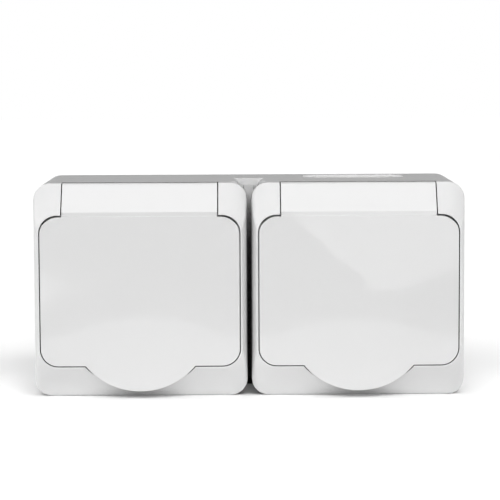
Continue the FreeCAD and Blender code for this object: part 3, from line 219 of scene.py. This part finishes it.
# Cable seal: a soft thermoplastic membrane snapped into the top wall over the right
# gang. It is a little warmer and duller than the hard plastic, and has a ring to cut along.
SEAL_WHITE = (0.74, 0.74, 0.73)
SEAL_ROUGHNESS = 0.62
SEAL_EDGE = 0.0001
SMALL_EDGE_STEPS = 2
seal_white = moulded("seal_white", SEAL_WHITE, SEAL_ROUGHNESS)
finish_node("cable_seal", seal_white, SEAL_EDGE, SMALL_EDGE_STEPS)


# Cover seals and lid seals: rubber, extruded as a cord for the covers and moulded as
# a ring for the lids. Each is pressed into its groove.
RUBBER = (0.10, 0.10, 0.10)
RUBBER_ROUGHNESS = 0.6
RUBBER_CLOUD = 0.12
RUBBER_EDGE = 0.00025
rubber = moulded("seal_rubber", RUBBER, RUBBER_ROUGHNESS, Cloud=RUBBER_CLOUD)
for gang in GANGS:
    finish_node(f"cover_seal_{gang}", rubber)
    finish_node(f"lid_seal_{gang}", rubber, RUBBER_EDGE, SMALL_EDGE_STEPS)


# Contact bases: the blocks that hold the live parts, pressed from a grey heat-proof
# resin. They screw to the back of the plug wells.
BASE_GREY = (0.50, 0.50, 0.48)
BASE_ROUGHNESS = 0.5
BASE_CLOUD = 0.2
BASE_EDGE = 0.0003
resin = moulded("base_resin", BASE_GREY, BASE_ROUGHNESS, Cloud=BASE_CLOUD)
for gang in GANGS:
    finish_node(f"contact_base_{gang}", resin, BASE_EDGE, SMALL_EDGE_STEPS)


# Contacts and earth straps: punched and bent from brass strip, the straps tinned.
# Rolling leaves fine lines along the strip, and handling a slight unevenness of colour.
BRASS = (0.70, 0.50, 0.22)
BRASS_ROUGHNESS = 0.3
TINNED = (0.70, 0.68, 0.63)
TINNED_ROUGHNESS = 0.34
STRIP_EDGE = 0.00012
LINE_PITCH = 0.00012
LINE_STRETCH = 14.0
LINE_DEPTH = 0.000004
LINE_DULLNESS = 0.1
PATCHES_PER_METRE = 180.0
PATCH_DULLNESS = 0.15
PATCH_SHADE = 1.5


def rolled_metal():
    """Fine lines left by rolling or drawing, and patches where the metal is a little duller."""
    group, given, out = open_group(
        "rolled_metal",
        (
            ("Colour", "Color", (*BRASS, 1)), ("Roughness", "Float", BRASS_ROUGHNESS),
            ("Line Pitch", "Float", LINE_PITCH), ("Dull Patches", "Float", PATCH_DULLNESS),
        ),
        (("Height", "Float"), ("Rough", "Float"), ("Tint", "Color")),
    )
    place = group.nodes.new("ShaderNodeTexCoord").outputs["Object"]
    stretch = group.nodes.new("ShaderNodeMapping")
    stretch.inputs["Scale"].default_value = (1.0 / LINE_STRETCH, 1.0, 1.0)
    group.links.new(place, stretch.inputs["Vector"])
    lines_per_metre = maths(group, "DIVIDE", 1.0, given["Line Pitch"])
    lines = noise(group, stretch.outputs[0], lines_per_metre, detail=2.0)
    handled = noise(group, place, PATCHES_PER_METRE, detail=3.0)
    dull = maths(group, "SUBTRACT", handled, NOISE_MIDDLE)
    group.links.new(lines, out["Height"])
    patches = maths(group, "MULTIPLY", dull, given["Dull Patches"])
    grooves = maths(group, "SUBTRACT", lines, NOISE_MIDDLE)
    fine = maths(group, "MULTIPLY", grooves, LINE_DULLNESS)
    uneven = maths(group, "ADD", patches, fine)
    group.links.new(maths(group, "ADD", uneven, given["Roughness"]), out["Rough"])
    shade = group.nodes.new("ShaderNodeHueSaturation")
    darker = maths(group, "MULTIPLY", patches, PATCH_SHADE)
    group.links.new(maths(group, "SUBTRACT", 1.0, darker), shade.inputs["Value"])
    group.links.new(given["Colour"], shade.inputs["Color"])
    group.links.new(shade.outputs["Color"], out["Tint"])
    return group


ROLLED = rolled_metal()


def metal(name, colour, roughness):
    """A bare or plated metal with the surface of rolled strip or drawn wire."""
    material = bpy.data.materials.new(name)
    material.use_nodes = True
    tree = material.node_tree
    shader = tree.nodes["Principled BSDF"]
    surface = tree.nodes.new("ShaderNodeGroup")
    surface.node_tree = ROLLED
    surface.inputs["Colour"].default_value = (*colour, 1)
    surface.inputs["Roughness"].default_value = roughness
    shader.inputs["Metallic"].default_value = 1.0
    tree.links.new(surface.outputs["Tint"], shader.inputs["Base Color"])
    tree.links.new(surface.outputs["Rough"], shader.inputs["Roughness"])
    bump = tree.nodes.new("ShaderNodeBump")
    bump.inputs["Distance"].default_value = LINE_DEPTH
    tree.links.new(surface.outputs["Height"], bump.inputs["Height"])
    tree.links.new(bump.outputs["Normal"], shader.inputs["Normal"])
    return material


brass = metal("contact_brass", BRASS, BRASS_ROUGHNESS)
tinned = metal("tinned_brass", TINNED, TINNED_ROUGHNESS)
for gang in GANGS:
    for pole in ("live", "neutral"):
        finish_node(f"{pole}_contact_{gang}", brass, STRIP_EDGE, SMALL_EDGE_STEPS)
    finish_node(f"earth_strap_{gang}", tinned, STRIP_EDGE, SMALL_EDGE_STEPS)


# Plug wells: white cups of a smoother, harder plastic than the covers. Each stands in
# its cover's round opening and is clamped between the cover and the contact base.
WELL_COLOUR = (0.79, 0.79, 0.79)
WELL_ROUGHNESS = 0.3
WELL_GRAIN_DEPTH = 0.00001
WELL_EDGE = 0.0004
well_white = moulded("well_white", WELL_COLOUR, WELL_ROUGHNESS, WELL_GRAIN_DEPTH)
for gang in GANGS:
    finish_node(f"socket_well_{gang}", well_white, WELL_EDGE)


# Covers: deep white mouldings with the same matt grain as the box, held down by four
# screws each. Their outer edges are crisp and their slopes flat.
COVER_COLOUR = (0.82, 0.82, 0.82)
COVER_ROUGHNESS = 0.45
# COVER_GAP_REACH: how far the painted shade reaches in the covers' slits and gaps.
COVER_GAP_REACH = 0.009
COVER_EDGE = 0.00016
cover_white = moulded("cover_white", COVER_COLOUR, COVER_ROUGHNESS, Reach=COVER_GAP_REACH)
for gang in GANGS:
    finish_node(f"cover_{gang}", cover_white, COVER_EDGE)


# Screws: turned steel with a zinc plating, slotted. Four hold each cover, one each
# well, and three in each base clamp the wires.
ZINC = (0.50, 0.51, 0.53)
ZINC_ROUGHNESS = 0.36
SCREW_EDGE = 0.0001
zinc = metal("zinc_plate", ZINC, ZINC_ROUGHNESS)
for gang in GANGS:
    for screws in ("cover_screws", "terminal_screws", "well_screw"):
        finish_node(f"{screws}_{gang}", zinc, SCREW_EDGE, SMALL_EDGE_STEPS)


# Lids: white like the covers but moulded in a polished tool, so that they mirror what lies
# in front of them. The panel is slightly domed and has shallow sinks over its ribs.
LID_COLOUR = (0.80, 0.80, 0.80)
LID_ROUGHNESS = 0.03
LID_EDGE = 0.0002
POLISH_DEPTH = 0.000001
POLISH_GRAIN = 0.0006
POLISH_SINKS = 8.0
lid_white = moulded(
    "lid_white", LID_COLOUR, LID_ROUGHNESS, POLISH_DEPTH,
    Grain=POLISH_GRAIN, Sinks=POLISH_SINKS,
)
for gang in GANGS:
    finish_node(f"lid_{gang}", lid_white, LID_EDGE)


# Hinge pins: steel rod, coloured near black as painted shade, so that it stays dark in the slits
# beside the strip. Each is pushed through the cover's ears and the lid's bosses from the side of
# the other gang.
PIN_PAINTED_DARK = (0.10, 0.10, 0.105)
PIN_ROUGHNESS = 0.45
PIN_EDGE = 0.0002
pin_painted_dark = metal("pin_painted_dark_steel", PIN_PAINTED_DARK, PIN_ROUGHNESS)
for gang in GANGS:
    finish_node(f"hinge_pin_{gang}", pin_painted_dark, PIN_EDGE, SMALL_EDGE_STEPS)


# Hinge springs: stainless wire wound round the pin, four turns and a bit, with one leg
# down the trough's back wall and one under the lid. They twist as the lid opens.
STAINLESS = (0.60, 0.61, 0.62)
WIRE_ROUGHNESS = 0.26
WIRE_RADIUS = 0.00035
WIRE_SIDES = 12
COIL_RADIUS = 0.0021
COIL_TURNS = 4.0 + 150.0 / 360.0
POINTS_PER_TURN = 40
HEEL_LENGTH = 0.005
LEG_LENGTH = 0.0068
spring_wire = metal("spring_wire", STAINLESS, WIRE_ROUGHNESS)


def spring_line(start_x, end_x, axis):
    """The wire's middle line: up the back wall, round the pin over its top, along the lid."""
    line = [Vector((start_x, axis.y + COIL_RADIUS, axis.z - HEEL_LENGTH))]
    steps = round(COIL_TURNS * POINTS_PER_TURN)
    for step in range(steps + 1):
        angle = math.tau * COIL_TURNS * step / steps
        line.append(Vector((
            start_x + (end_x - start_x) * step / steps,
            axis.y + COIL_RADIUS * math.cos(angle),
            axis.z + COIL_RADIUS * math.sin(angle),
        )))
    angle = math.tau * COIL_TURNS
    line.append(line[-1] + LEG_LENGTH * Vector((0, -math.sin(angle), math.cos(angle))))
    return line


def wire_mesh(name, line):
    """A round wire along a line of points, with flat ends."""
    points, faces = [], []
    side = Vector((1, 0, 0))
    for at, place in enumerate(line):
        along = (line[min(at + 1, len(line) - 1)] - line[max(at - 1, 0)]).normalized()
        side = (side - along * side.dot(along)).normalized()
        other = along.cross(side)
        for corner in range(WIRE_SIDES):
            turn = math.tau * corner / WIRE_SIDES
            outwards = side * math.cos(turn) + other * math.sin(turn)
            points.append(place + WIRE_RADIUS * outwards)
    for ring in range(0, len(points) - WIRE_SIDES, WIRE_SIDES):
        for corner in range(WIRE_SIDES):
            here, beside = ring + corner, ring + (corner + 1) % WIRE_SIDES
            faces.append((here, beside, beside + WIRE_SIDES, here + WIRE_SIDES))
    faces.append(tuple(reversed(range(WIRE_SIDES))))
    faces.append(tuple(range(len(points) - WIRE_SIDES, len(points))))
    mesh = bpy.data.meshes.new(name)
    mesh.from_pydata(points, [], faces)
    mesh.shade_smooth()
    return mesh


for gang, joint in zip(GANGS, frame["joints"]):
    coil_low, coil_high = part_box(f"hinge_spring_{gang}")
    start_x, end_x = coil_low.x + WIRE_RADIUS, coil_high.x - WIRE_RADIUS
    axis = Vector(joint["pos_m"])
    mesh = wire_mesh(f"spring_{gang}", spring_line(start_x, end_x, axis))
    mesh.materials.append(spring_wire)
    spring = bpy.data.objects.new(f"spring_{gang}", mesh)
    bpy.context.scene.collection.objects.link(spring)
    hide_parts(f"hinge_spring_{gang}")
    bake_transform(spring)


# Table: the white sheet that the outlet stands on, with a soft shadow close to it, partly cast
# by the lamps and partly painted. What a camera or a gloss sees of it glows, by (metres from the
# outlet, strength), more farther away, so that the lamps stay low and the far table is still
# white;
# the glow is lowest close to the outlet, partly as painted shadow, and fades within SHADOW_REACH
# of it as painted shadow.
SHEET_HALF = 3.0
SHEET_WHITE = (0.92, 0.92, 0.92)
SHEET_ROUGHNESS = 0.9
SHEET_GLOW = ((0.07, 0.33), (0.17, 0.58), (0.56, 0.75), (1.20, 0.92), (1.90, 1.03))
NO_GLOW = ((0.0, 0.0), (1.0, 0.0))
SHADOW_REACH = 0.015
MOTTLES_PER_METRE = 8.0
MOTTLE_CONTRAST = 0.02
low, high = (Vector(corner) for corner in cad_box)


def seen_directly(tree):
    """1 where a camera, a gloss or a clear piece sees the surface, 0 where it lights others."""
    path = tree.nodes.new("ShaderNodeLightPath").outputs
    first = maths(tree, "MAXIMUM", path["Is Camera Ray"], path["Is Glossy Ray"])
    return maths(tree, "MAXIMUM", first, path["Is Transmission Ray"])


def flat_sheet(name, corners, colour, glow=NO_GLOW):
    """A matt flat sheet of the set, whose glow adds no light to the outlet and fades near other
    things as painted shadow.
    """
    material = bpy.data.materials.new(name)
    material.use_nodes = True
    tree = material.node_tree
    shader = tree.nodes["Principled BSDF"]
    shader.inputs["Roughness"].default_value = SHEET_ROUGHNESS
    shader.inputs["Specular IOR Level"].default_value = 0.0
    place = tree.nodes.new("ShaderNodeTexCoord").outputs["Object"]
    shade = tree.nodes.new("ShaderNodeHueSaturation")
    shade.inputs["Color"].default_value = (*colour, 1)
    mottles = noise(tree, place, MOTTLES_PER_METRE, detail=2.0)
    uneven = maths(tree, "SUBTRACT", mottles, NOISE_MIDDLE)
    mottle = maths(tree, "MULTIPLY", uneven, MOTTLE_CONTRAST)
    tree.links.new(maths(tree, "ADD", mottle, 1.0), shade.inputs["Value"])
    tree.links.new(shade.outputs["Color"], shader.inputs["Base Color"])
    shader.inputs["Emission Color"].default_value = (1, 1, 1, 1)
    away = tree.nodes.new("ShaderNodeVectorMath")
    away.operation = "LENGTH"
    tree.links.new(place, away.inputs[0])
    reach = glow[-1][0]
    rise = tree.nodes.new("ShaderNodeValToRGB")
    steps = rise.color_ramp.elements
    while len(steps) < len(glow):
        steps.new(1.0)
    for step, (distance, strength) in zip(steps, glow):
        step.position = distance / reach
        step.color = (strength, strength, strength, 1)
    tree.links.new(maths(tree, "DIVIDE", away.outputs["Value"], reach), rise.inputs["Fac"])
    # Painted shadow: ambient occlusion within SHADOW_REACH dims the glow near the outlet.
    shadow = tree.nodes.new("ShaderNodeAmbientOcclusion")
    shadow.inputs["Distance"].default_value = SHADOW_REACH
    open_glow = maths(tree, "MULTIPLY", rise.outputs["Color"], shadow.outputs["AO"])
    strength = maths(tree, "MULTIPLY", seen_directly(tree), open_glow)
    tree.links.new(strength, shader.inputs["Emission Strength"])
    mesh = bpy.data.meshes.new(name)
    mesh.from_pydata(corners, [], [tuple(range(len(corners)))])
    mesh.materials.append(material)
    sheet = bpy.data.objects.new(name, mesh)
    bpy.context.scene.collection.objects.link(sheet)
    return sheet


flat_sheet(
    "table",
    [
        (-SHEET_HALF, -SHEET_HALF, low.z), (SHEET_HALF, -SHEET_HALF, low.z),
        (SHEET_HALF, SHEET_HALF, low.z), (-SHEET_HALF, SHEET_HALF, low.z),
    ],
    SHEET_WHITE,
    SHEET_GLOW,
)


# Lamps: soft boxes low and high in front, a small one high on the right and one at each
# side, and two low ones behind that light only the back. Each row is the name, the place,
# the width, the height and the watts. The small one and the rear ones show in no gloss.
FRONT_LAMPS = (
    ("front_box", (0.1, -2.0, 0.42), 2.2, 1.2, 11.0),
    ("upper_box", (0.0, -1.15, 1.40), 1.6, 0.9, 11.5),
    ("crown_box", (0.36, -0.75, 1.1), 0.6, 0.4, 3.2),
    ("left_box", (-1.3, -0.45, 0.25), 0.7, 0.7, 7.0),
    ("right_box", (1.3, -0.45, 0.25), 0.7, 0.7, 3.8),
)
REAR_ASIDE = 1.2
REAR_BEHIND = 0.95
REAR_RISE = 0.10
REAR_WIDTH = 0.8
REAR_HEIGHT = 0.25
REAR_WATTS = 5.0
centre = (low + high) / 2


def soft_box(name, place, width, height, power):
    """A rectangular lamp that faces the outlet."""
    lamp = bpy.data.lights.new(name, "AREA")
    lamp.shape = "RECTANGLE"
    lamp.size, lamp.size_y = width, height
    lamp.energy = power
    made = bpy.data.objects.new(name, lamp)
    made.location = place
    made.rotation_mode = "QUATERNION"
    made.rotation_quaternion = (centre - Vector(place)).to_track_quat("-Z", "Y")
    bpy.context.scene.collection.objects.link(made)
    return made


front = {lamp[0]: soft_box(*lamp) for lamp in FRONT_LAMPS}
front["crown_box"].visible_glossy = False
for side in (-1, 1):
    place = (side * REAR_ASIDE, REAR_BEHIND, REAR_RISE)
    rear = soft_box(f"rear_box_{side}", place, REAR_WIDTH, REAR_HEIGHT, REAR_WATTS)
    rear.visible_camera = rear.visible_glossy = False


# Cards: a black one stands far behind and keeps the top walls grey. A grey one with two
# arcs cut from its near edge lies on the table, out of the camera's view, and the polished
# lids mirror it, so that the white table shows in them as faint lobes.
BLACK = (0.02, 0.02, 0.02)
BLACK_BEHIND = 1.4
BLACK_LOW = 0.0
BLACK_HIGH = 1.8
GREY = (0.20, 0.20, 0.20)
GREY_LIFT = 0.001
GREY_NEAR = -0.175
GREY_OUTLINE = (
    (0.30, GREY_NEAR), (0.30, -0.50), (0.142, -0.50), (0.066, -0.383),
    (0.0, -1.60), (-0.40, -1.60), (-0.20, -0.75), (-0.105, -0.42), (-0.10, GREY_NEAR),
)
ARC_HALF = 0.044
ARC_DEPTH = 0.07
ARC_STEPS = 8

black_card = flat_sheet(
    "card_behind",
    [
        (-SHEET_HALF, BLACK_BEHIND, BLACK_LOW), (SHEET_HALF, BLACK_BEHIND, BLACK_LOW),
        (SHEET_HALF, BLACK_BEHIND, BLACK_HIGH), (-SHEET_HALF, BLACK_BEHIND, BLACK_HIGH),
    ],
    BLACK,
)
black_card.visible_camera = False

outline = list(GREY_OUTLINE)
for middle in (-ARC_HALF, ARC_HALF):
    for step in range(1, 2 * ARC_STEPS):
        along = step / ARC_STEPS - 1
        outline.append((middle + ARC_HALF * along, GREY_NEAR - ARC_DEPTH * (1 - along ** 2)))
grey_card = flat_sheet("card_in_front", [(x, y, low.z + GREY_LIFT) for x, y in outline], GREY)
grey_card.visible_camera = grey_card.visible_shadow = False


# Room: pale walls far away. They light the outlet only a little, and are white where a
# camera, a gloss or a clear piece sees them.
ROOM_LIGHT = 0.06
world = bpy.data.worlds.new("studio")
bpy.context.scene.world = world
world.use_nodes = True
tree = world.node_tree
level = tree.nodes.new("ShaderNodeMapRange")
level.inputs["To Min"].default_value = ROOM_LIGHT
level.inputs["To Max"].default_value = 1.0
tree.links.new(seen_directly(tree), level.inputs["Value"])
tree.links.new(level.outputs["Result"], tree.nodes["Background"].inputs["Strength"])
tree.nodes["Background"].inputs["Color"].default_value = (1, 1, 1, 1)


# Camera: where the photograph was taken from, three quarters of a metre in front of the
# outlet and a little above it, with a long lens.
CAMERA_PLACE = Vector((-0.00371, -0.7604, 0.0824))
CAMERA_LENS = 146.2
CAMERA_TURN = 0.0056
CAMERA_DIP = 0.0962
CAMERA_ROLL = -0.0044
SENSOR_WIDTH = 36.0
CLIP_NEAR = 0.05
lens = bpy.data.cameras.new("camera")
lens.lens = CAMERA_LENS
lens.sensor_width = SENSOR_WIDTH
lens.clip_start = CLIP_NEAR
camera = bpy.data.objects.new("camera", lens)
camera.matrix_world = (
    Matrix.Translation(CAMERA_PLACE)
    @ Matrix.Rotation(-CAMERA_TURN, 4, "Z")
    @ Matrix.Rotation(math.pi / 2 - CAMERA_DIP, 4, "X")
    @ Matrix.Rotation(CAMERA_ROLL, 4, "Z")
)
bpy.context.scene.collection.objects.link(camera)
bpy.context.scene.camera = camera
bpy.context.scene.view_settings.view_transform = "Standard"
